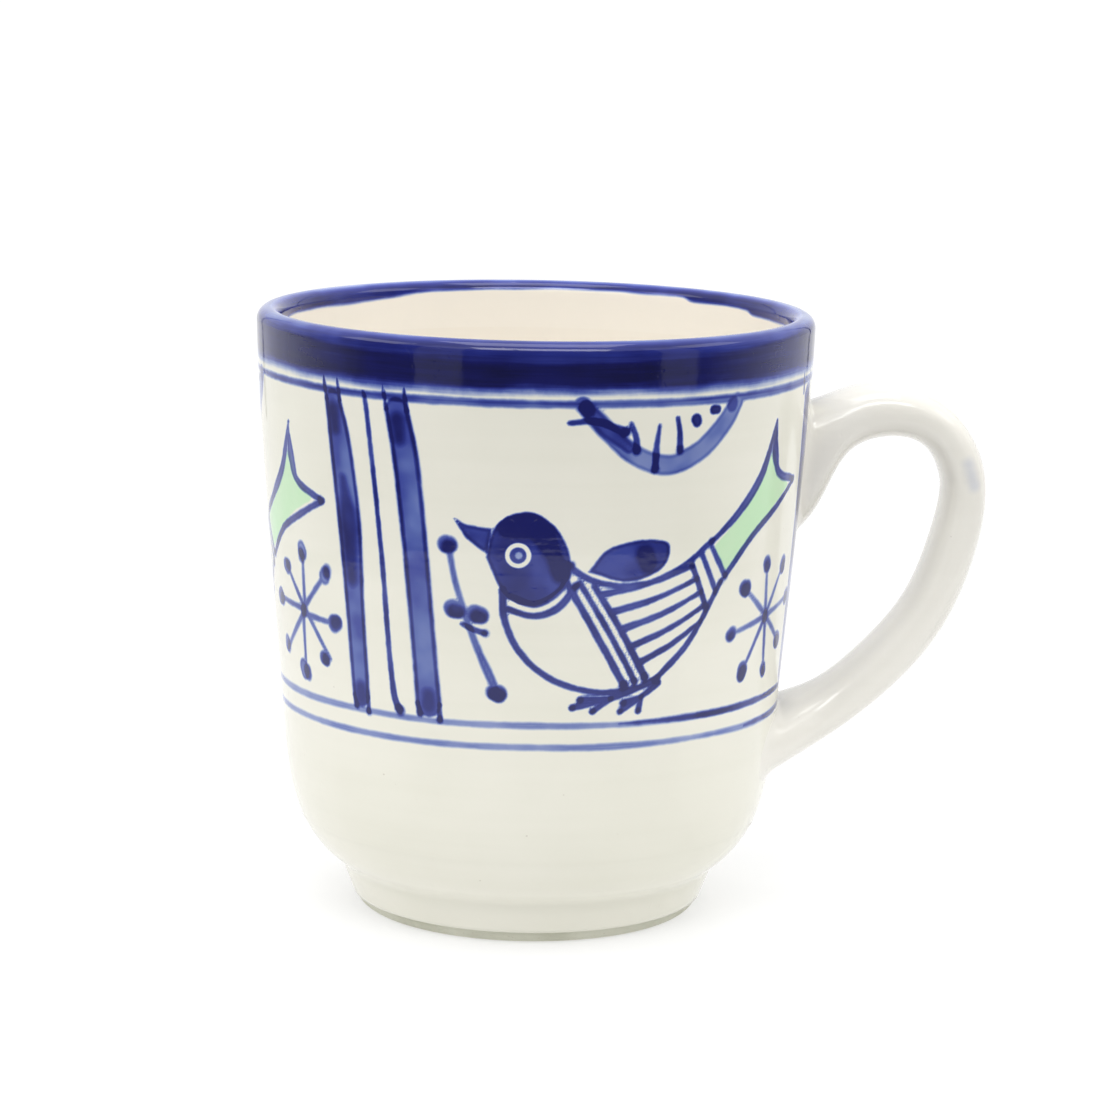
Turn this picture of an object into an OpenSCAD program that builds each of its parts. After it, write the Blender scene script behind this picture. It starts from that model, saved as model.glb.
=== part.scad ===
// Footed stoneware mug with a pulled strap handle.
// The clay pieces, the luting slip that joins them and the coats of glaze are separate solids.
// Origin at the centre of the foot's resting plane, +Z up, handle along +X.

/* [Cup] */
// Height from the table to the crest of the lip
mug_h = 92.7; // [84:0.1:104]
// Outer radius at the lip
rim_r = 42.5; // [40:0.1:46]
// Outer radius where the wall turns into the shoulder
waist_r = 38; // [36:0.1:40]
// Thickness of the lip
lip_t = 3.8; // [3:0.1:5]
// Thickness of the wall above the shoulder
wall_t = 4; // [3:0.1:5]
// Height of the cup's floor above the table
floor_z = 8.5; // [7:0.1:11]

/* [Foot] */
// Height of the ledge where the body meets the foot
foot_h = 7; // [6:0.1:8]
// Outer radius of the foot at the ledge
foot_r = 28.9; // [27.6:0.1:31]
// How far the foot tapers in towards the table
foot_taper = 1.8; // [1:0.1:3]
// Outer radius of the bare ring that rests on the table
rest_r = 24.1; // [23.5:0.1:25]
// Radius of the hollow turned under the foot
recess_r = 21.5; // [18:0.1:22.5]
// Depth of the hollow under the foot
recess_d = 3; // [2:0.1:4]

/* [Glaze] */
// Thickness of every coat of glaze
glaze_t = 0.3; // [0.2:0.05:0.4]
// Height at which the outside glaze stops above the table
glaze_stop_z = 2; // [1.8:0.1:2.6]
// Depth of the cobalt band below the crest, on the outside
band_out = 6.9; // [5:0.1:9]
// Depth of the cobalt band below the crest, on the inside
band_in = 2.5; // [2.2:0.1:4]

/* [Handle] */
// Width of the strap at its grip
grip_w = 13; // [10:0.5:15]
// Width of the upper root against the wall
upper_root_w = 13; // [11:0.5:17]
// Width of the lower root, where the strap is pressed flat against the wall
lower_root_w = 27; // [20:0.5:29]
// Depth of the scored bed of luting slip behind each root, from the glazed surface
slip_t = 0.8; // [0.6:0.1:1.2]

/* [Hidden] */

lip_r = lip_t / 2;                  // the lip is a half round
lip_z = mug_h - lip_r;              // height of the lip's centre
lip_mid_r = rim_r - lip_r;          // radius of the crest
waist_z = 28;                       // height where the wall turns into the shoulder
bore_r = waist_r - wall_t;          // inner radius at the waist
upper_root = [69, 17];              // height of the upper bed's middle, and its length up the wall
lower_root = [27, 8.6];             // the same for the lower bed
slices = 16;                        // steps along each curve of the section
turn_fn = 128;                      // smoothness of turned surfaces
strap_sides = 24;                   // points round the strap's section
strap_steps = 40;                   // rings of points along the strap, less one
root_gap = 0.02;                    // gap between the strap's ends and the wall
strap_power = 2.5;                  // 2 is an ellipse, higher is squarer

clay_colour = [0.80, 0.72, 0.60];
slip_colour = [0.86, 0.80, 0.70];
glaze_colour = [0.93, 0.92, 0.88];
liner_colour = [0.94, 0.91, 0.84];
cobalt_colour = [0.13, 0.16, 0.48];

// ---- the turned section: cubic curves, each shifted sideways by a thickness ----

// Point at t of the cubic curve with control points p
function curve_at(p, t) = pow(1 - t, 3) * p[0] + 3 * pow(1 - t, 2) * t * p[1]
    + 3 * (1 - t) * t * t * p[2] + pow(t, 3) * p[3];

// Direction of the same curve at t
function heading(p, t) = pow(1 - t, 2) * (p[1] - p[0]) + 2 * (1 - t) * t * (p[2] - p[1])
    + t * t * (p[3] - p[2]);

// Unit vector to the left of a direction
function left_of(v) = [-v[1], v[0]] / norm(v);

// The curve drawn as points, moved to its left by d
function drawn(p, d = 0) = [for (i = [0 : slices]) curve_at(p, i / slices)
    + d * left_of(heading(p, i / slices))];

// Quarter of the lip's round from angle a, in the same sense as the curves
function lip_arc(a, d) = [for (i = [0 : slices / 2]) let (b = a + 90 * i / (slices / 2))
    [lip_mid_r, lip_z] + (lip_r - d) * [cos(b), sin(b)]];

function reversed(list) = [for (i = [len(list) - 1 : -1 : 0]) list[i]];

// Curves of the outside, from the table up
foot_low_r = foot_r - foot_taper;
foot_side = [[foot_low_r, glaze_stop_z], [foot_low_r + 0.5, 3.4],
             [foot_r - 0.2, foot_h - 1.2], [foot_r, foot_h]];
shoulder = [[foot_r, foot_h], [waist_r - 2.4, foot_h + 4.4],
            [waist_r - 0.8, waist_z - 10], [waist_r, waist_z]];
wall = [[waist_r, waist_z], [waist_r + 1.6, waist_z + 22], [rim_r - 0.4, lip_z - 17],
        [rim_r, lip_z]];

// Curves of the inside, from the lip down to the floor
bore = [[lip_mid_r - lip_r, lip_z], [lip_mid_r - lip_r - 0.4, lip_z - 17],
        [bore_r + 1.6, waist_z + 22], [bore_r, waist_z]];
bowl = [[bore_r, waist_z], [bore_r - 0.8, waist_z - 13], [bore_r - 8, floor_z],
        [bore_r - 22, floor_z]];

function outside_line(d) = concat(drawn(foot_side, d), drawn(shoulder, d), drawn(wall, d),
                                  lip_arc(0, d));
function inside_line(d) = concat(lip_arc(90, d), drawn(bore, d), drawn(bowl, d),
                                 [[0, floor_z - d]]);

// Section of a solid cup with its outside moved in by d
module full_section(d) {
    polygon(concat([[0, glaze_stop_z]], outside_line(d), [[0, mug_h - d]]));
}

// Section of the clay above the foot, under its coats of glaze
module clay_section() {
    polygon(concat([[0, recess_d], [recess_r, recess_d], [recess_r, foot_h]],
                   drawn(shoulder, glaze_t), drawn(wall, glaze_t), lip_arc(0, glaze_t),
                   inside_line(glaze_t)));
}

module outside_coat() {
    polygon(concat(outside_line(0), reversed(outside_line(glaze_t))));
}

module inside_coat() {
    polygon(concat(inside_line(0), reversed(inside_line(glaze_t))));
}

// Everything in the section between two heights
module between(z0, z1) {
    intersection() {
        children();
        translate([0, z0]) square([2 * rim_r, z1 - z0]);
    }
}

module turned() {
    rotate_extrude($fn = turn_fn) children();
}

// ---- the strap ----

// Stations along the strap: outer x, outer z, inner x, inner z, and width,
// from the upper root inside the wall, round the grip, to the lower root inside the wall
stations = [
    [37.0, 77.4, 37.0, 56.0, upper_root_w],
    [43.5, 79.4, 43.0, 61.8, upper_root_w],
    [48.5, 81.2, 47.0, 69.8, (upper_root_w + grip_w) / 2],
    [53.5, 82.0, 52.0, 73.4, grip_w],
    [59.5, 80.8, 57.3, 73.6, grip_w],
    [64.8, 77.3, 60.8, 71.6, grip_w],
    [68.6, 71.5, 62.6, 68.4, grip_w],
    [69.8, 64.5, 63.1, 64.4, grip_w],
    [68.6, 56.3, 61.6, 57.6, grip_w],
    [65.3, 47.0, 58.6, 49.6, grip_w],
    [60.0, 38.7, 53.8, 43.0, grip_w],
    [52.8, 31.6, 47.8, 37.2, grip_w],
    [45.0, 26.0, 42.0, 33.6, grip_w + (lower_root_w - grip_w) * 0.2],
    [36.0, 21.2, 35.0, 30.8, lower_root_w],
    [32.4, 18.9, 31.6, 29.2, lower_root_w]
];

// Smooth value between stations b and c, with neighbours a and d
function smooth(a, b, c, d, t) = 0.5 * (2 * b + (c - a) * t
    + (2 * a - 5 * b + 4 * c - d) * t * t + (3 * b - a - 3 * c + d) * t * t * t);

last_station = len(stations) - 1;
function station(i) = stations[max(0, min(last_station, i))];

// The strap's outer point, inner point and width at place s, counted in stations
function strap_at(s) = let (i = floor(s))
    smooth(station(i - 1), station(i), station(i + 1), station(i + 2), s - i);

function bulge(c) = sign(c) * pow(abs(c), 2 / strap_power);

// Point on side line k of the strap at place s, moved in by d
function strap_point(s, k, d) =
    let (row = strap_at(s),
         mid = [row[0] + row[2], row[1] + row[3]] / 2,
         half = [row[0] - row[2], row[1] - row[3]] / 2,
         reach = half * (1 - d / norm(half)) * bulge(cos(360 * k / strap_sides)))
    [mid[0] + reach[0], (row[4] / 2 - d) * bulge(sin(360 * k / strap_sides)), mid[1] + reach[1]];

// Radius of the glazed wall at a height, and whether a point stands clear of it
wall_table = [for (p = concat(drawn(shoulder), drawn(wall))) [p[1], p[0]]];
function is_clear(p) = norm([p[0], p[1]]) > lookup(p[2], wall_table) + root_gap;

// Place where side line k leaves the wall, halving the stretch from hidden to clear
function leaves_wall(hidden, clear, k, d, halvings = 14) =
    let (middle = (hidden + clear) / 2)
    halvings == 0 ? clear
    : is_clear(strap_point(middle, k, d)) ? leaves_wall(hidden, middle, k, d, halvings - 1)
    : leaves_wall(middle, clear, k, d, halvings - 1);

// All rings of the strap from wall to wall, with its surface moved in by d
function strap_rings(d) =
    let (first = [for (k = [0 : strap_sides - 1]) leaves_wall(0, 1, k, d)],
         last = [for (k = [0 : strap_sides - 1])
             leaves_wall(last_station, last_station - 2, k, d)])
    [for (j = [0 : strap_steps]) for (k = [0 : strap_sides - 1])
        strap_point(first[k] + (last[k] - first[k]) * j / strap_steps, k, d)];

// Triangles between rings a and b, which are given by their first point's index
function band(a, b) = [for (k = [0 : strap_sides - 1]) let (n = (k + 1) % strap_sides)
    each [[a + k, b + n, b + k], [a + k, a + n, b + n]]];

// Triangles of a tube of so many rings, starting at a point's index
function tube(start, rings) = [for (j = [0 : rings - 2])
    each band(start + j * strap_sides, start + (j + 1) * strap_sides)];

function flipped(faces) = [for (f = faces) [f[0], f[2], f[1]]];

// Fan of triangles that closes the ring at index a, round the point at index hub
function fan(a, hub) = [for (k = [0 : strap_sides - 1]) [hub, a + (k + 1) % strap_sides, a + k]];

// The point of the wall's surface at a height and a distance to the side
function on_wall(y, z) = [sqrt(pow(lookup(z, wall_table) + root_gap, 2) - y * y), y, z];

function middle_z(ring) = (max([for (p = ring) p[2]]) + min([for (p = ring) p[2]])) / 2;

// Smaller copies of an end ring that lie on the wall and close the strap's end
function end_rings(ring, fractions) = let (z = middle_z(ring))
    [for (f = fractions) for (p = ring) on_wall(f * p[1], z + f * (p[2] - z))];

// ---- the roots' beds of slip ----

// Straight plug through the wall with the rounded outline of a root:
// root holds its middle height and its length, w is its width
module root_plug(root, w) {
    outline = [for (k = [0 : strap_sides - 1]) let (a = 360 * k / strap_sides)
        [w / 2 * bulge(sin(a)), root[0] + root[1] / 2 * bulge(cos(a))]];
    rotate([90, 0, 90]) linear_extrude(2 * rim_r) polygon(outline);
}

module upper_plug() {
    root_plug(upper_root, upper_root_w - 2);
}

module lower_plug() {
    root_plug(lower_root, lower_root_w - 5);
}

// The layer from the glazed surface down to the bottom of the scored beds
module bed_layer() {
    turned() difference() {
        full_section(0);
        full_section(slip_t);
    }
}

// ---- clay pieces ----

module cup_body() {
    color(clay_colour) difference() {
        turned() clay_section();
        upper_slip_joint();
        lower_slip_joint();
    }
}

module foot_ring() {
    clay_side = drawn(foot_side, glaze_t);
    rounded_edge = drawn([[rest_r, 0], [clay_side[0][0] - 0.9, 0],
                          [clay_side[0][0] - 0.4, 0.9], clay_side[0]]);
    color(clay_colour) turned()
        polygon(concat([[recess_r, foot_h], [recess_r, 0.8], [recess_r + 0.8, 0]],
                       rounded_edge, clay_side));
}

module handle() {
    strap = strap_rings(glaze_t);
    upper_end = [for (k = [0 : strap_sides - 1]) strap[k]];
    lower_end = [for (k = [0 : strap_sides - 1]) strap[strap_steps * strap_sides + k]];
    points = concat(end_rings(upper_end, [0.25, 0.5, 0.75]), strap,
                    end_rings(lower_end, [0.75, 0.5, 0.25]),
                    [on_wall(0, middle_z(upper_end)), on_wall(0, middle_z(lower_end))]);
    rings = strap_steps + 7;
    hub = rings * strap_sides;
    color(clay_colour) polyhedron(points,
        concat(tube(0, rings), fan(0, hub), flipped(fan(hub - strap_sides, hub + 1))));
}

module upper_slip_joint() {
    color(slip_colour) intersection() {
        bed_layer();
        upper_plug();
    }
}

module lower_slip_joint() {
    color(slip_colour) intersection() {
        bed_layer();
        lower_plug();
    }
}

// ---- coats of glaze ----

module outside_glaze() {
    color(glaze_colour) difference() {
        turned() between(glaze_stop_z, mug_h - band_out) outside_coat();
        upper_plug();
        lower_plug();
    }
}

module inside_glaze() {
    color(liner_colour) turned() between(0, mug_h - band_in) inside_coat();
}

module rim_band() {
    color(cobalt_colour) turned() union() {
        between(mug_h - band_out, mug_h) outside_coat();
        between(mug_h - band_in, mug_h) inside_coat();
    }
}

module handle_glaze() {
    skin = strap_rings(0);
    inner = len(skin);
    end = inner - strap_sides;
    color(glaze_colour) polyhedron(
        concat(skin, strap_rings(glaze_t)),
        concat(tube(0, strap_steps + 1), flipped(tube(inner, strap_steps + 1)),
               flipped(band(0, inner)), band(end, inner + end)));
}

module base_glaze() {
    color(glaze_colour) translate([0, 0, recess_d - glaze_t])
        cylinder(h = glaze_t, r = recess_r, $fn = turn_fn);
}

cup_body();
foot_ring();
handle();
upper_slip_joint();
lower_slip_joint();
outside_glaze();
inside_glaze();
rim_band();
handle_glaze();
base_glaze();
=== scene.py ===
import math

import bpy
import numpy as np
from mathutils import Matrix, Vector


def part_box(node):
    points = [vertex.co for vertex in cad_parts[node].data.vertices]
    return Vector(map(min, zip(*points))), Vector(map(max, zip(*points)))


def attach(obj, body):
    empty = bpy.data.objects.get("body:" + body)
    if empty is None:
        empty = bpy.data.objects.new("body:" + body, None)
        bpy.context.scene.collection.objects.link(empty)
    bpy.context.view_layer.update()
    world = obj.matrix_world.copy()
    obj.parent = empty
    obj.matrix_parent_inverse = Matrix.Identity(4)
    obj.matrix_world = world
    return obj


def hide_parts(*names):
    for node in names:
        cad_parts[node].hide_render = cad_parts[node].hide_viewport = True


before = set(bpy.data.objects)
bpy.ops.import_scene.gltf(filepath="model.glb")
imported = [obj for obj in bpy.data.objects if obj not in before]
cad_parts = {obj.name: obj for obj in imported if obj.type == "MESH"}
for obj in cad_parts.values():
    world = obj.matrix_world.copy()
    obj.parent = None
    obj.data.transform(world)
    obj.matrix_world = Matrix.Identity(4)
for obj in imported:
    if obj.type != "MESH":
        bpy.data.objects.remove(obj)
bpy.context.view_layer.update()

# ---- sizes, in millimetres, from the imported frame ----

MM = 0.001
GLAZE_T = 0.3                             # thickness of every coat of glaze


def box_mm(node):
    """Lowest and highest corner of a CAD node, in millimetres."""
    low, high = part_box(node)
    return np.array(low) / MM, np.array(high) / MM


MUG_H = box_mm("rim_band")[1][2]          # crest of the lip
RIM_R = box_mm("rim_band")[1][1]          # outside of the lip
BAND_Z = box_mm("rim_band")[0][2]         # lower edge of the cobalt band, outside
BAND_IN_Z = box_mm("inside_glaze")[1][2]  # lower edge of the cobalt band, inside
GLAZE_STOP_Z = box_mm("outside_glaze")[0][2]
FOOT_H = box_mm("foot_ring")[1][2]        # ledge between foot and body
FOOT_R = box_mm("foot_ring")[1][1] + GLAZE_T  # the coat of glaze lies on the clay
RECESS_R = box_mm("base_glaze")[1][1]
RECESS_Z = box_mm("base_glaze")[0][2]
GRIP_X = box_mm("handle_glaze")[1][0]     # outermost point of the handle

# the CAD's own values for what no box shows
LIP_R = 1.9
WAIST_R = 38.0
WAIST_Z = 28.0
WALL_T = 4.0
FLOOR_Z = 8.5
FOOT_TAPER = 1.8
REST_R = 24.1
LIP_Z = MUG_H - LIP_R
LIP_MID_R = RIM_R - LIP_R
BORE_R = WAIST_R - WALL_T

# The painting is laid out flat, in millimetres round a cylinder of this radius. Its zero is the
# side that faces the camera, and the same panel is painted three times round the cup.
PAINT_R = 40.5
HANDLE_BEHIND = math.radians(3.0)         # the handle points a little away from the camera
FRONT = -math.pi / 2 - HANDLE_BEHIND
PANELS = 3
PANEL_W = 2 * math.pi * PAINT_R / PANELS

rng = np.random.default_rng(7)


# ---- curves ----

def cubic(points, count):
    """Points along the cubic curve with four control points."""
    p = np.array(points, float)
    t = np.linspace(0, 1, count)[:, None]
    return (1 - t) ** 3 * p[0] + 3 * (1 - t) ** 2 * t * p[1] + 3 * (1 - t) * t * t * p[2] + t ** 3 * p[3]


def arc(centre, radius, start, end, count):
    """Points along an arc; the angles are in degrees."""
    a = np.radians(np.linspace(start, end, count))
    return np.array(centre) + radius * np.column_stack([np.cos(a), np.sin(a)])


def chain(*parts):
    """Curves joined end to end, with the shared points kept once."""
    return np.vstack([parts[0]] + [part[1:] for part in parts[1:]])


def spaced(points, step):
    """The polyline with points at about equal distances."""
    run = np.concatenate([[0], np.cumsum(np.linalg.norm(np.diff(points, axis=0), axis=1))])
    at = np.linspace(0, run[-1], max(2, int(round(run[-1] / step)) + 1))
    return np.column_stack([np.interp(at, run, points[:, k]) for k in range(points.shape[1])])


def through(knots, step=0.5):
    """A smooth curve through a few knots; every column is smoothed, so widths can ride along."""
    k = np.array(knots, float)
    if len(k) < 3:
        return spaced(k, step)
    before = np.vstack([2 * k[0] - k[1], k])
    padded = np.vstack([before, 2 * k[-1] - k[-2]])
    out = []
    for a, b, c, d in zip(padded, padded[1:], padded[2:], padded[3:]):
        t = np.linspace(0, 1, max(3, int(np.linalg.norm(c[:2] - b[:2]) / step) + 2))[:-1, None]
        out.append(0.5 * (2 * b + (c - a) * t + (2 * a - 5 * b + 4 * c - d) * t ** 2
                          + (3 * b - a - 3 * c + d) * t ** 3))
    return np.vstack(out + [k[-1:]])


# Curves of the section, from the foot up the outside and down the inside, as in the CAD
FOOT_LOW_R = FOOT_R - FOOT_TAPER
FOOT_SIDE = [[FOOT_LOW_R, GLAZE_STOP_Z], [FOOT_LOW_R + 0.5, 3.4],
             [FOOT_R - 0.2, FOOT_H - 1.2], [FOOT_R, FOOT_H]]
SHOULDER = [[FOOT_R, FOOT_H], [WAIST_R - 2.4, FOOT_H + 4.4],
            [WAIST_R - 0.8, WAIST_Z - 10], [WAIST_R, WAIST_Z]]
WALL = [[WAIST_R, WAIST_Z], [WAIST_R + 1.6, WAIST_Z + 22], [RIM_R - 0.4, LIP_Z - 17], [RIM_R, LIP_Z]]
BORE = [[LIP_MID_R - LIP_R, LIP_Z], [LIP_MID_R - LIP_R - 0.4, LIP_Z - 17],
        [BORE_R + 1.6, WAIST_Z + 22], [BORE_R, WAIST_Z]]
BOWL = [[BORE_R, WAIST_Z], [BORE_R - 0.8, WAIST_Z - 13], [BORE_R - 8, FLOOR_Z], [BORE_R - 22, FLOOR_Z]]

WALL_LINE = chain(cubic(SHOULDER, 80), cubic(WALL, 160))


def wall_radius(z):
    """Outside radius of the glazed cup at a height."""
    return np.interp(z, WALL_LINE[:, 1], WALL_LINE[:, 0])


# ---- meshes ----

def new_object(name, verts, faces, material):
    """A smooth-shaded mesh from points in millimetres."""
    mesh = bpy.data.meshes.new(name)
    mesh.from_pydata((np.asarray(verts) * MM).tolist(), [], faces)
    mesh.validate()
    mesh.shade_smooth()
    mesh.set_sharp_from_angle(angle=math.radians(70))
    mesh.materials.append(material)
    obj = bpy.data.objects.new(name, mesh)
    bpy.context.scene.collection.objects.link(obj)
    return obj


def grid_faces(rows, columns, close_rows):
    """Quads of a grid that is closed round its columns, and along its rows if asked."""
    faces = []
    for i in range(rows if close_rows else rows - 1):
        a, b = i * columns, (i + 1) % rows * columns
        faces += [(a + k, a + (k + 1) % columns, b + (k + 1) % columns, b + k) for k in range(columns)]
    return faces


def lathe(name, section, columns, material):
    """Turns a closed section. A section that starts and ends on the axis closes in two poles."""
    section = np.asarray(section, float)
    on_axis = section[0, 0] < 1e-6
    body = section[1:-1] if on_axis else section
    turn = FRONT + np.linspace(0, 2 * math.pi, columns, endpoint=False)
    verts = np.stack([np.outer(body[:, 0], np.cos(turn)), np.outer(body[:, 0], np.sin(turn)),
                      np.repeat(body[:, 1:], columns, axis=1)], -1).reshape(-1, 3)
    faces = grid_faces(len(body), columns, close_rows=not on_axis)
    if on_axis:
        last = (len(body) - 1) * columns
        first_pole, last_pole = len(verts), len(verts) + 1
        verts = np.vstack([verts, [0, 0, section[0, 1]], [0, 0, section[-1, 1]]])
        faces += [(first_pole, (k + 1) % columns, k) for k in range(columns)]
        faces += [(last_pole, last + k, last + (k + 1) % columns) for k in range(columns)]
    return new_object(name, verts, faces, material)


def add_values(obj, name, values):
    """Stores one number a vertex, for the material to read."""
    layer = obj.data.attributes.new(name, "FLOAT", "POINT")
    layer.data.foreach_set("value", np.asarray(values, np.float32))


# ---- the painting: brush strokes on the unrolled wall ----

NO_PAINT = -3.0                           # a layer's value far from every stroke


class Sheet:
    """The unrolled wall: how far each vertex lies inside the nearest stroke of each colour."""

    def __init__(self, u, v):
        self.u = u
        self.v = v
        self.layers = {}

    def layer(self, name):
        """Millimetres inside the nearest stroke of one kind, below zero outside it."""
        return self.layers.setdefault(name, np.full(len(self.u), NO_PAINT))

    def near(self, points, margin):
        """Which vertices lie in the box round the points, going round the cup if need be."""
        low, high = points.min(0) - margin, points.max(0) + margin
        around = (self.u - low[0]) % (2 * math.pi * PAINT_R)
        return np.flatnonzero((around < high[0] - low[0]) & (self.v > low[1]) & (self.v < high[1]))

    def flat(self, picked, points):
        """The picked vertices, with u brought to the same turn as the points."""
        turn = 2 * math.pi * PAINT_R
        u = (self.u[picked] - points[:, 0].min() + 5) % turn + points[:, 0].min() - 5
        return np.column_stack([u, self.v[picked]])

    def stroke(self, name, knots, step=0.5):
        """A brush stroke through knots of (u, v, half width)."""
        line = through(knots, step)
        picked = self.near(line[:, :2], line[:, 2].max() + 1.2)
        at = self.flat(picked, line[:, :2])
        best = np.full(len(picked), NO_PAINT)
        for a, b in zip(line, line[1:]):
            along = b[:2] - a[:2]
            t = np.clip((at - a[:2]) @ along / max(along @ along, 1e-9), 0, 1)
            gap = np.linalg.norm(at - a[:2] - t[:, None] * along, axis=1)
            best = np.maximum(best, a[2] + t * (b[2] - a[2]) - gap)
        layer = self.layer(name)
        layer[picked] = np.maximum(layer[picked], best)

    def fill(self, name, knots, smooth=True):
        """A filled shape inside a closed outline."""
        ring = np.array(list(knots) + [knots[0]], float)
        outline = through(ring, 0.5) if smooth else spaced(ring, 0.5)
        picked = self.near(outline, 1.2)
        at = self.flat(picked, outline)
        gap = np.full(len(picked), 9.0)
        inside = np.zeros(len(picked), bool)
        for a, b in zip(outline, outline[1:]):
            along = b - a
            t = np.clip((at - a) @ along / max(along @ along, 1e-9), 0, 1)
            gap = np.minimum(gap, np.linalg.norm(at - a - t[:, None] * along, axis=1))
            crosses = (a[1] > at[:, 1]) != (b[1] > at[:, 1])
            reach = a[0] + (at[:, 1] - a[1]) / (b[1] - a[1] if b[1] != a[1] else 1e-9) * along[0]
            inside ^= crosses & (at[:, 0] < reach)
        layer = self.layer(name)
        layer[picked] = np.maximum(layer[picked], np.where(inside, gap, -gap))

    def dot(self, name, u, v, r, stretch=1.0, angle=0.0):
        """A dab: a short stroke as wide as the dab."""
        half = r * (stretch - 1)
        du, dv = half * math.cos(angle), half * math.sin(angle)
        self.stroke(name, [(u - du, v - dv, r), (u + du, v + dv, r * 0.92)])


class Panel:
    """Draws on the sheet in a panel's own coordinates, with a painter's small wander and lean."""

    def __init__(self, sheet, index, lean=0.0):
        self.sheet = sheet
        self.shift = index * PANEL_W
        self.wander = 0.0 if index == 0 else 0.4
        self.lean = lean

    def moved(self, knots):
        """The knots on the sheet, leaned over and nudged a little."""
        nudge = rng.normal(0, self.wander, 2)
        pivot_u, pivot_v = 16.0, 40.0
        out = []
        for u, v, *width in knots:
            u = u + self.lean * (v - pivot_v) * 0.5
            v = v - self.lean * (u - pivot_u)
            out.append((u + self.shift + nudge[0], v + nudge[1] * 0.6, *width))
        return out

    def stroke(self, name, knots):
        self.sheet.stroke(name, self.moved(knots))

    def line(self, knots, blot=1.35):
        """A line of the loaded brush, with a blot where the brush is lifted."""
        knots = self.moved(knots)
        self.sheet.stroke("line", knots)
        u, v, width = knots[-1]
        self.sheet.dot("dab", u, v, width * blot, 1.15, rng.uniform(0, math.pi))

    def fill(self, name, knots, smooth=True):
        self.sheet.fill(name, self.moved(knots), smooth)

    def dot(self, name, u, v, r, stretch=1.0, angle=0.0):
        (u, v), = self.moved([(u, v)])
        self.sheet.dot(name, u, v, r, stretch, angle)

    def bud(self, u, v, r, stretch=1.15, angle=0.0):
        """A dab that dried darker to one side."""
        self.dot("wash", u, v, r, stretch, angle)
        self.dot("bud", u + 0.1 * r, v - 0.2 * r, 0.75 * r, stretch, angle)


def bars(panel):
    """Two broad leaning bars, each filled between two loaded edges, with a thin line between."""
    left = [(-31.0, 82.4, 1.5), (-29.9, 76, 2.0), (-28.8, 65, 2.15), (-28.4, 52, 1.75), (-28.0, 38.5, 1.6)]
    right = [(-19.8, 82.0, 1.8), (-18.5, 75, 1.95), (-17.3, 62, 1.9), (-16.2, 46, 1.9), (-15.7, 38.8, 2.0)]
    for bar in (left, right):
        panel.stroke("bar", bar)
        top_u, top_v, top_w = bar[0]
        foot_u, foot_v, foot_w = bar[-1]
        for side in (-1, 1):
            edge = [(u + side * (w - 0.15), v, 0.32) for u, v, w in bar]
            hair = (top_u + side * (top_w - 0.2) - 0.7, top_v + 5.0 + 0.5 * side, 0.14)
            foot = (foot_u + side * (foot_w - 0.35) + 0.2, foot_v - 1.9 - 0.3 * side, 0.42)
            panel.stroke("pale", edge)
            panel.stroke("line", [hair, edge[0]])
            panel.line([edge[-1], foot])
        panel.stroke("pool", [(top_u + 0.1, top_v - 1.4, 1.4), (top_u + 0.3, top_v - 4.2, 1.1)])
        panel.stroke("pool", [(foot_u, foot_v - 0.2, 1.5), (foot_u, foot_v + 1.2, 1.3)])
    panel.stroke("pool", [(-29.6, 71.0, 0.8), (-28.9, 65.0, 1.7), (-28.7, 56.0, 1.2)])
    panel.line([(-25.3, 84.2, 0.2), (-24.9, 82.4, 0.36), (-24.0, 74, 0.34), (-22.9, 60, 0.38),
                (-22.2, 46, 0.42), (-21.6, 39.6, 0.5), (-20.7, 37.4, 0.62)])


def stem(panel):
    """A bud on a leaning stem, with a pair of leaves half way."""
    panel.stroke("wash", [(-12.0, 62.0, 0.42), (-11.0, 57, 0.38), (-8.6, 49.5, 0.5), (-5.4, 42.2, 0.62)])
    panel.bud(-12.2, 63.0, 1.35)
    panel.bud(-5.1, 41.2, 1.35, 1.25, 2.8)
    panel.dot("dab", -5.4, 41.2, 1.0)
    for side in (-1, 1):
        panel.bud(-9.5 + side * 1.7, 53.1 - side * 0.3, 1.35, 1.3, -0.2)
    panel.line([(-10.2, 51.3, 0.34), (-8.6, 50.6, 0.42), (-6.8, 50.1, 0.45)])


def half_sun(panel):
    """A half round sun that hangs from the upper line, with short rays."""
    panel.stroke("wash", [(6.6, 83.9, 1.15), (9.6, 80.6, 1.3), (14.4, 76.3, 1.4), (19.6, 74.7, 1.45),
                          (24.8, 76.6, 1.5), (28.8, 80.2, 1.5), (31.0, 83.2, 1.3)])
    panel.stroke("pale", [(6.9, 83.6, 0.9), (10.0, 80.2, 1.0), (13.4, 77.4, 0.7)])
    panel.dot("dab", 7.2, 83.2, 1.0, 1.3, -1.0)
    panel.dot("dab", 30.2, 82.9, 1.0, 1.2, 1.2)
    panel.line([(4.8, 81.2, 0.34), (8.6, 81.4, 0.46), (12.8, 79.8, 0.56)])
    rays = ((14.0, 81.0, 77.0, 0.5), (17.6, 80.6, 74.2, -0.2), (20.9, 81.5, 76.8, 0.3))
    for u, top, foot, bend in rays:
        panel.line([(u - bend, top, 0.26), (u + bend * 0.6, (top + foot) / 2, 0.42), (u + bend, foot, 0.5)])
    panel.dot("dab", 23.8, 80.9, 0.8, 1.3, -1.1)
    panel.dot("line", 23.8, 80.9, 0.8, 1.3, -1.1)
    panel.dot("dab", 27.0, 82.3, 0.66, 1.5, -0.1)
    panel.dot("line", 27.0, 82.3, 0.66, 1.5, -0.1)


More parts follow.
